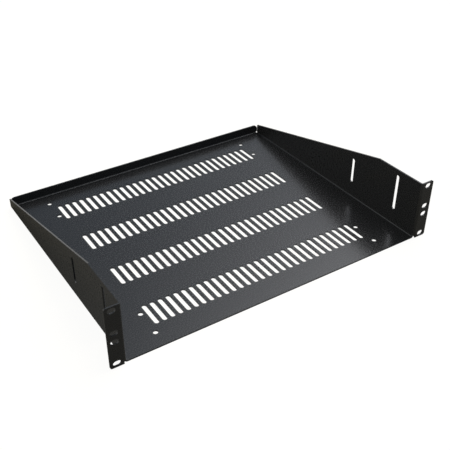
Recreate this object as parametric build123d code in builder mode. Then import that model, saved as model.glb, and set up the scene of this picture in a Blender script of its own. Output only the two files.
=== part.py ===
from build123d import *

import os

# A vented rack shelf, two rack units high: one steel sheet, punched flat and then folded.
# X runs across the rack, Y from front to back and Z up. The origin is below the middle of the shelf,
# on the surface that its underside rests on.

os.makedirs("parts", exist_ok=True)

# The rack that the shelf goes into, in mm.
rack_unit = 44.45
units = 2
height_clearance = 1.4
ear_to_ear_width = 482.6
unit_edge_to_slot = 6.35

# The sheet.
sheet = 1.9
fold_inside_radius = 1.4

# The ears: their corners, their slots, and the notch that parts their fold from the base's.
ear_width = 19.05
ear_corner_radius = 3.0
ear_slot_edge_distance = 8.75
ear_slot_length = 10.0
ear_slot_width = 7.0
ear_notch_height = 0.9

# The tray: its depth, how far its underside lies below the ears, and the lip at the rear.
body_depth = 381.0
underside_below_ears = 0.3
lip_height = 15.55
lip_end_gap = 1.35
lip_corner_radius = 7.0

# The walls: level at the front, then sloping down, and ending just before the lip.
wall_level_length = 82.4
wall_rear_height = 16.15
wall_corner_radius = 1.3
wall_to_lip_gap = 0.9

# The vents of the base: slots that run from front to back, in rows across the shelf. Their round
# ends are drawn as half of a polygon, because there are so many of them.
vent_length = 38.85
vent_width = 6.35
vent_end_polygon_sides = 16
vent_pitch = 11.1125
vent_row_spacing = 88.9
vent_row_edge_distance = 57.15
vent_to_hole_web = 2.5

# The round holes near the base's corners: in each corner two, one behind the other.
base_hole_diameter = 6.75
base_hole_side_distance = 51.25
base_hole_edge_distance = 25.4
base_hole_pair_spacing = 38.1

# The upright strap slots in each wall, from the front one to the rear one.
strap_slot_width = 5.9
strap_slot_lengths = [54.7, 38.85]
strap_slot_bottom = 25.0
strap_slot_spacing = 88.9
first_strap_slot = 44.45

# What follows from these: the ears and the walls.
ear_height = units * rack_unit - height_clearance
panel_top = underside_below_ears + ear_height
ear_mid_height = underside_below_ears + ear_height / 2
ear_front = -body_depth / 2
ear_tip = ear_to_ear_width / 2
body_width = ear_to_ear_width - 2 * ear_width
fold_outside_radius = fold_inside_radius + sheet
ear_fold_line = body_width / 2 + fold_inside_radius
wall_inner_face = body_width / 2 - sheet
wall_front = ear_front + fold_outside_radius
wall_rear = body_depth / 2 - sheet - wall_to_lip_gap
wall_base = fold_outside_radius

# The flat of the base, whose front edge is flush with the ears' rear faces.
base_half_width = body_width / 2 - fold_outside_radius
base_front = ear_front + sheet
base_rear = body_depth / 2 - fold_outside_radius
base_length = base_rear - base_front

# The vents fill the width between the columns of round holes, and the depth between the outer rows.
base_hole_columns = body_width - 2 * base_hole_side_distance
vent_space = base_hole_columns - base_hole_diameter - 2 * vent_to_hole_web
vents_in_row = int((vent_space - vent_width) / vent_pitch) + 1
vent_rows = round((body_depth - 2 * vent_row_edge_distance) / vent_row_spacing) + 1

# One vent, about its own centre.
with BuildSketch() as vent:
    with GridLocations(0, vent_length - vent_width, 1, 2):
        RegularPolygon(vent_width / 2, vent_end_polygon_sides)
    make_hull()


def fold_section(plane):
    """The end of a fold: a quarter ring of sheet about the plane's origin, from its X to its Y."""
    with BuildSketch(plane) as section:
        with BuildLine():
            inside = CenterArc((0, 0), fold_inside_radius, 0, 90)
            outside = CenterArc((0, 0), fold_outside_radius, 0, 90)
            Line(inside @ 0, outside @ 0)
            Line(inside @ 1, outside @ 1)
        make_face()
    return section.sketch


with BuildPart() as shelf_tray:
    # The right wall, seen from the side, with its strap slots.
    with BuildSketch(Plane.YZ.offset(wall_inner_face)):
        with BuildLine():
            Polyline(
                (wall_front, wall_base),
                (wall_front, panel_top),
                (ear_front + wall_level_length, panel_top),
                (wall_rear, wall_rear_height),
                (wall_rear, wall_base),
                close=True,
            )
        make_face()
        fillet(vertices().group_by(Axis.X)[-1].sort_by(Axis.Y)[-1], wall_corner_radius)
        for number, length in enumerate(strap_slot_lengths):
            slot_y = ear_front + first_strap_slot + number * strap_slot_spacing
            with Locations((slot_y, strap_slot_bottom + length / 2)):
                SlotOverall(length, strap_slot_width, rotation=90, mode=Mode.SUBTRACT)
    extrude(amount=sheet)

    # The right ear, seen from the front, with two slots for each rack unit.
    with BuildSketch(Plane.XZ.offset(-ear_front)):
        with Locations((ear_fold_line, underside_below_ears)):
            Rectangle(ear_tip - ear_fold_line, ear_height, align=Align.MIN)
        fillet(vertices().group_by(Axis.X)[-1], ear_corner_radius)
        with Locations((ear_tip - ear_slot_edge_distance, ear_mid_height)):
            with GridLocations(0, rack_unit, 1, units):
                with GridLocations(0, rack_unit - 2 * unit_edge_to_slot, 1, 2):
                    SlotOverall(ear_slot_length, ear_slot_width, mode=Mode.SUBTRACT)
    extrude(amount=-sheet)

    # The fold between the right wall and its ear.
    ear_fold = Plane((ear_fold_line, wall_front, wall_base), x_dir=(-1, 0, 0), z_dir=(0, 0, 1))
    extrude(fold_section(ear_fold), amount=panel_top - wall_base)

    # The fold between the base and the right wall, cut back under the ear's fold.
    side_fold = Plane((base_half_width, base_front, wall_base), x_dir=(1, 0, 0), z_dir=(0, 1, 0))
    extrude(fold_section(side_fold), amount=base_length)
    with Locations((body_width / 2, wall_front, wall_base)):
        Box(
            2 * fold_outside_radius,
            2 * fold_outside_radius,
            ear_notch_height,
            align=(Align.CENTER, Align.MAX, Align.MAX),
            mode=Mode.SUBTRACT,
        )

    # The left side is the right one mirrored.
    mirror(about=Plane.YZ)

    # The lip across the rear and its fold, which stops where the side folds start.
    lip_fold = Plane((-base_half_width, base_rear, wall_base), x_dir=(0, 0, -1), z_dir=(1, 0, 0))
    extrude(fold_section(lip_fold), amount=2 * base_half_width)
    with BuildSketch(Plane.XZ.offset(-body_depth / 2)):
        with Locations((0, wall_base)):
            Rectangle(
                body_width - 2 * lip_end_gap,
                lip_height - wall_base,
                align=(Align.CENTER, Align.MIN),
            )
        fillet(vertices().group_by(Axis.Y)[-1], lip_corner_radius)
    extrude(amount=sheet)

    # The base between the side folds, with its vents and round holes.
    with BuildSketch(Plane.XY):
        with Locations((0, base_front)):
            Rectangle(2 * base_half_width, base_length, align=(Align.CENTER, Align.MIN))
        with GridLocations(vent_pitch, vent_row_spacing, vents_in_row, vent_rows):
            add(vent.sketch, mode=Mode.SUBTRACT)
        pair_distance = body_depth - 2 * base_hole_edge_distance - base_hole_pair_spacing
        with GridLocations(base_hole_columns, pair_distance, 2, 2):
            with GridLocations(0, base_hole_pair_spacing, 1, 2):
                Circle(base_hole_diameter / 2, mode=Mode.SUBTRACT)
    extrude(amount=sheet)

shelf_tray.part.label = "shelf_tray"
export_step(shelf_tray.part, "parts/shelf_tray.step")
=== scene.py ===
# %% [markdown]
# # A vented rack shelf in black powder coat
#
# The shelf is one steel sheet, punched flat and then folded: a base full of vents, two side walls that
# slope down to a low lip at the rear, and two ears with slots that bolt to a rack. The solid model already
# has every fold and hole at its real size, so it is loaded here as a fixed frame, in metres, and nothing
# about its shape is made again. What is left for this lesson is what a paint shop and a photographer add:
# the coat of powder, its softened edges, the light, the studio's floor and the camera.

# %% Load the solid model
import math

import bpy
import numpy as np
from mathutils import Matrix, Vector

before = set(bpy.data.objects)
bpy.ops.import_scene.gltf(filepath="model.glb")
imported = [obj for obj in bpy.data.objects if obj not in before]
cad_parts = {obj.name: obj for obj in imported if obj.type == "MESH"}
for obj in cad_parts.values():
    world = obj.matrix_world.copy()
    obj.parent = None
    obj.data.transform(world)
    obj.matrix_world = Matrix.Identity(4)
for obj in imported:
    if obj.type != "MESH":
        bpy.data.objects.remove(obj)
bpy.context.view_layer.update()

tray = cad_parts["shelf_tray"]
millimetre = 0.001
print("faces in the tray:", len(tray.data.polygons))

# %% [markdown]
# ## Arithmetic on sockets
#
# A finish in Blender is a graph of nodes, and a formula in it can take a dozen Math nodes. They could be
# placed and linked by hand, one at a time, but then the formula can't be read any more. So one small class
# wraps an output socket and gives it Python's operators: an expression on wrapped sockets adds the Math
# nodes by itself. Any other kind of node comes from its `node` method.

# %% A socket that takes part in formulas
class Field:
    """A value that varies over a surface: one output socket of a node tree, with arithmetic."""

    def __init__(self, tree, socket=None):
        self.tree = tree
        self.socket = socket

    def node(self, kind, settings=None, values=None, output=0):
        """Adds a node, sets its settings, then its sockets' values or links, and wraps one output."""
        made = self.tree.nodes.new(kind)
        for name, setting in (settings or {}).items():
            setattr(made, name, setting)
        for name, value in (values or {}).items():
            if isinstance(value, Field):
                self.tree.links.new(value.socket, made.inputs[name])
            else:
                made.inputs[name].default_value = value
        return Field(self.tree, made.outputs[output] if made.outputs else None)

    def other(self, output):
        """Another output of the node that this one comes from."""
        return Field(self.tree, self.socket.node.outputs[output])

    def maths(self, operation, first, second):
        """One Math node on two values, either of which may be a plain number."""
        return self.node("ShaderNodeMath", {"operation": operation}, {0: first, 1: second})

    def __add__(self, number):
        return self.maths("ADD", self, number)

    def __radd__(self, number):
        return self.maths("ADD", number, self)

    def __sub__(self, number):
        return self.maths("SUBTRACT", self, number)

    def __rsub__(self, number):
        return self.maths("SUBTRACT", number, self)

    def __mul__(self, number):
        return self.maths("MULTIPLY", self, number)

    def __rmul__(self, number):
        return self.maths("MULTIPLY", number, self)

    def __pow__(self, number):
        return self.maths("POWER", self, number)

    def __rpow__(self, number):
        return self.maths("POWER", number, self)


def new_tree(owner):
    """The emptied node tree of a material or world, as a Field without a socket to add nodes from."""
    owner.use_nodes = True
    owner.node_tree.nodes.clear()
    return Field(owner.node_tree)


# %% [markdown]
# ## The camera
#
# The photograph looks down on the shelf from its left front corner. The camera's place and lens were worked
# out from the centres of the vents and slots, which lie at known sizes, so it stands where the real one
# stood. Its place could be three coordinates. It is kept as a direction and a distance from the point it
# looks at instead, because a photographer who walks round a thing changes one of these at a time.

# %% Place the camera
camera_azimuth = math.radians(-32.876)
camera_elevation = math.radians(34.429)
camera_distance = 1.0385
camera_aim = Vector((0.01925, -0.02067, 0))
lens_length = 58.19

towards_camera = Vector((
    math.sin(camera_azimuth) * math.cos(camera_elevation),
    -math.cos(camera_azimuth) * math.cos(camera_elevation),
    math.sin(camera_elevation),
))
camera_data = bpy.data.cameras.new("camera")
camera_data.lens = lens_length
camera = bpy.data.objects.new("camera", camera_data)
camera.location = camera_aim + camera_distance * towards_camera
camera.rotation_euler = (-towards_camera).to_track_quat("-Z", "Y").to_euler()
bpy.context.scene.collection.objects.link(camera)
bpy.context.scene.camera = camera
print("camera at", tuple(round(value, 4) for value in camera.location))

# %% [markdown]
# ## A glow with no edge
#
# The base of the shelf is a dark mirror that is a little blurred, so the light has to look right in it as
# well as on it. In the photograph it gets lighter from its left rear to its right front corner, with no
# edge of a lamp in it: it mirrors a large soft glow that stands high up to the right. A lamp would be a
# disc or a square with an edge, so the glow is made in the world instead, as a lobe: the cosine of the
# angle to its centre, raised to a power. The higher the power, the smaller and sharper the glow.

# %% A lobe of light in the world
def direction_to(azimuth, elevation):
    """The unit vector to an azimuth, in degrees from the rear towards the right, and an elevation."""
    azimuth, elevation = math.radians(azimuth), math.radians(elevation)
    level = math.cos(elevation)
    return Vector((math.sin(azimuth) * level, math.cos(azimuth) * level, math.sin(elevation)))


def glow(direction, centre, focus, colour, strength):
    """Light round a centre: strength times the cosine of the angle to it, to the power of focus."""
    facing = direction.node(
        "ShaderNodeVectorMath", {"operation": "DOT_PRODUCT"}, {0: direction, 1: centre}, "Value")
    lobe = facing.maths("MAXIMUM", facing, 0.0) ** focus
    return direction.node("ShaderNodeBackground", values={"Color": colour, "Strength": lobe * strength})


straight_up = direction_to(0, 90)
print("an elevation of 90 degrees points to", tuple(round(value, 3) for value in straight_up))

# %% [markdown]
# ## The studio's light
#
# Three such lobes stand in an even, slightly cool light from all sides: the softbox itself, a smaller and
# sharper one higher up that draws the thin light lines along the folds, and a wide and warm one low on the
# left, which lights the left wall and the ground beside it. Together they are as strong as it takes to show
# a grey floor in about the grey that its paint has.

# %% Set the world
even_colour = (0.80, 1.0, 1.25, 1)
even_strength = 0.26
softbox = {
    "azimuth": 69, "elevation": 52.7, "focus": 16.5, "colour": (1.0, 0.99, 1.0, 1), "strength": 6.0}
overhead = {
    "azimuth": 90, "elevation": 72, "focus": 50, "colour": (1.0, 1.0, 1.0, 1), "strength": 3.2}
warm_fill = {
    "azimuth": -95, "elevation": 20, "focus": 2, "colour": (1.08, 1.0, 0.85, 1), "strength": 0.85}

world = bpy.data.worlds.new("studio")
tree = new_tree(world)
direction = tree.node("ShaderNodeTexCoord", output="Generated")
light = tree.node("ShaderNodeBackground", values={"Color": even_colour, "Strength": even_strength})
for lobe in (softbox, overhead, warm_fill):
    centre = direction_to(lobe["azimuth"], lobe["elevation"])
    source = glow(direction, centre, lobe["focus"], lobe["colour"], lobe["strength"])
    light = tree.node("ShaderNodeAddShader", values={0: light, 1: source})
    print("light of strength", lobe["strength"], "from", tuple(round(value, 3) for value in centre))
tree.node("ShaderNodeOutputWorld", values={"Surface": light})
bpy.context.scene.world = world
bpy.context.scene.view_settings.view_transform = "Standard"

# %% [markdown]
# ## The floor and the backdrop
#
# The shelf lies on a plain studio floor that is white in the picture. The photograph's view has no horizon,
# but seen from lower down a floor ends in a line, so a round backdrop stands at its edge. A studio bends
# one long sheet of paper for both. Here they are two pieces made from rings of points, a flat disc and an
# upright band, because the disc keeps the shelf's shadow and the band must let the light through.

# %% Lay the floor and put up the backdrop
stage_radius = 12.0
stage_steps = 96
backdrop_height = 4.2
floor_below_part = 0.02 * millimetre


def ring_of_points(radius, height, steps):
    """The points (r cos a, r sin a, z) of one level circle, for equal steps of the angle a."""
    angles = np.linspace(0, 2 * math.pi, steps, endpoint=False)
    return np.column_stack([radius * np.cos(angles), radius * np.sin(angles), np.full(steps, height)])


def stage_piece(name, points, faces):
    """A piece of the studio, made of those points and faces."""
    mesh = bpy.data.meshes.new(name)
    mesh.from_pydata(points.tolist(), [], faces.tolist())
    piece = bpy.data.objects.new(name, mesh)
    bpy.context.scene.collection.objects.link(piece)
    print(name, "has", len(mesh.polygons), "faces")
    return piece


lower_ring = ring_of_points(stage_radius, -floor_below_part, stage_steps)
upper_ring = ring_of_points(stage_radius, backdrop_height, stage_steps)
step = np.arange(stage_steps)
step_after = (step + 1) % stage_steps
inward_faces = np.column_stack([step, stage_steps + step, stage_steps + step_after, step_after])

floor = stage_piece("floor", lower_ring, step[np.newaxis])
backdrop = stage_piece("backdrop", np.vstack([lower_ring, upper_ring]), inward_faces)
backdrop.visible_diffuse = False
backdrop.visible_shadow = False

# %% [markdown]
# ## White for the studio
#
# The floor's paint is a dark grey, so that the shelf's soft shadow stays on it and the light that it throws
# back on the walls is right. A plain white is added for the rays that look at it: from the camera, through
# glass and in gloss. More light would make the floor white too, but it would wash out the shelf with it.
#
# Gloss rays of a few centimetres get only a small share of that white, and that is painted shade. They come
# from the shelf's own walls and ears, and what these mirror, the ground right beside the shelf, lies in the
# shelf's shade, darkest at the rear. The painted shade is worked out from the floor's y, in metres, and the
# share rises with the ray's length, so that there is no edge where the full white starts.

# %% Paint the floor and the backdrop
floor_paint = (0.105, 0.095, 0.070, 1)
floor_plain_white = 0.93
backdrop_plain_white = 1.0
# Painted shade on the ground in gloss: short rays see only these shares of the white, less at the rear.
painted_shade_reach = 0.15
painted_shade_front = {"y": -0.15, "share": 0.09}
painted_shade_rear = {"y": 0.18, "share": 0.015}
open_floor_distance = 0.75


def looked_at(tree):
    """1 for a camera or glass ray, and in gloss from the painted shade's share up to 1, by the ray's length.
    """
    place = tree.node("ShaderNodeTexCoord", output="Object")
    # Painted shade in gloss: the share of white goes from the front's to the rear's by the floor's y.
    painted_ground_shade = tree.node("ShaderNodeMapRange", values={
        "Value": tree.node("ShaderNodeSeparateXYZ", values={"Vector": place}, output="Y"),
        "From Min": painted_shade_front["y"],
        "From Max": painted_shade_rear["y"],
        "To Min": painted_shade_front["share"],
        "To Max": painted_shade_rear["share"],
    })
    ray = tree.node("ShaderNodeLightPath")
    further = tree.node("ShaderNodeMapRange", values={
        "Value": ray.other("Ray Length"),
        "From Min": painted_shade_reach,
        "From Max": open_floor_distance,
        "To Min": painted_ground_shade,
    })
    in_gloss = ray.other("Is Glossy Ray") * further
    return ray.other("Is Camera Ray") + ray.other("Is Transmission Ray") + in_gloss


floor_finish = bpy.data.materials.new("floor_paint")
tree = new_tree(floor_finish)
paint = tree.node("ShaderNodeBsdfDiffuse", values={"Color": floor_paint})
plain = tree.node("ShaderNodeEmission", values={"Color": looked_at(tree) * floor_plain_white})
shown = tree.node("ShaderNodeAddShader", values={0: paint, 1: plain})
tree.node("ShaderNodeOutputMaterial", values={"Surface": shown})
floor.data.materials.append(floor_finish)

backdrop_finish = bpy.data.materials.new("backdrop_white")
tree = new_tree(backdrop_finish)
plain = tree.node("ShaderNodeEmission", values={"Color": looked_at(tree) * backdrop_plain_white})
tree.node("ShaderNodeOutputMaterial", values={"Surface": plain})
backdrop.data.materials.append(backdrop_finish)
print("nodes in the floor's paint:", len(floor_finish.node_tree.nodes))

# %% [markdown]
# ## Orange peel in the powder coat
#
# Black polyester powder is blown onto the folded sheet and melts in an oven to one skin. While it flows,
# its grains leave a low relief of waves about two millimetres wide, which paint shops call orange peel, and
# where the skin set sooner it is a little duller and a little greyer. The photograph shows that as a fine
# speckle in the gloss of the base. It could be a picture of a painted surface, but a picture would need
# seams at the folds. One noise in the shelf's own coordinates runs over every flat and fold alike, and
# drives all three: the black, the dullness and, in the next cell, the height of the waves.

# %% Make the waves, the black and the dullness
coat_deep_black = (0.010, 0.010, 0.010, 1)
coat_dull_black = (0.015, 0.015, 0.015, 1)
coat_roughness = 0.24
coat_roughness_swing = 0.5
waves_per_metre = 520.0
wave_detail = 1.0
noise_middle = 0.5

coat = bpy.data.materials.new("black_powder_coat_finish")
tree = new_tree(coat)
place = tree.node("ShaderNodeTexCoord", output="Object")
waves = tree.node("ShaderNodeTexNoise", values={
    "Vector": place, "Scale": waves_per_metre, "Detail": wave_detail})
black = tree.node("ShaderNodeMix", {"data_type": "RGBA"}, {
    "Factor": waves, "A": coat_deep_black, "B": coat_dull_black}, "Result")
dullness = (waves - noise_middle) * coat_roughness_swing + coat_roughness
print("waves about", round(1 / (waves_per_metre * millimetre), 1), "mm wide")

# %% [markdown]
# ## Soft edges, and the finished skin
#
# The skin also rounds every punched edge a little. A modifier could cut that rounding into the mesh, but it
# is far smaller than a face of the solid model, so it is made in the shading alone: a Bevel node turns the
# normal over within a quarter of a millimetre of an edge, and the waves are added to what it gives. The
# gloss is that of a clear plastic, with an index of refraction just over that of window glass.

# %% Coat the tray
edge_radius = 0.25 * millimetre
edge_samples = 4
wave_height = 0.1 * millimetre
coat_ior = 1.55

rounded = tree.node("ShaderNodeBevel", {"samples": edge_samples}, {"Radius": edge_radius})
relief = tree.node("ShaderNodeBump", values={
    "Height": waves, "Strength": 1.0, "Distance": wave_height, "Normal": rounded})
skin = tree.node("ShaderNodeBsdfPrincipled", values={
    "Base Color": black, "Roughness": dullness, "IOR": coat_ior, "Normal": relief})
tree.node("ShaderNodeOutputMaterial", values={"Surface": skin})
tray.material_slots[0].material = coat
print("coat on the tray with", len(coat.node_tree.nodes), "nodes")
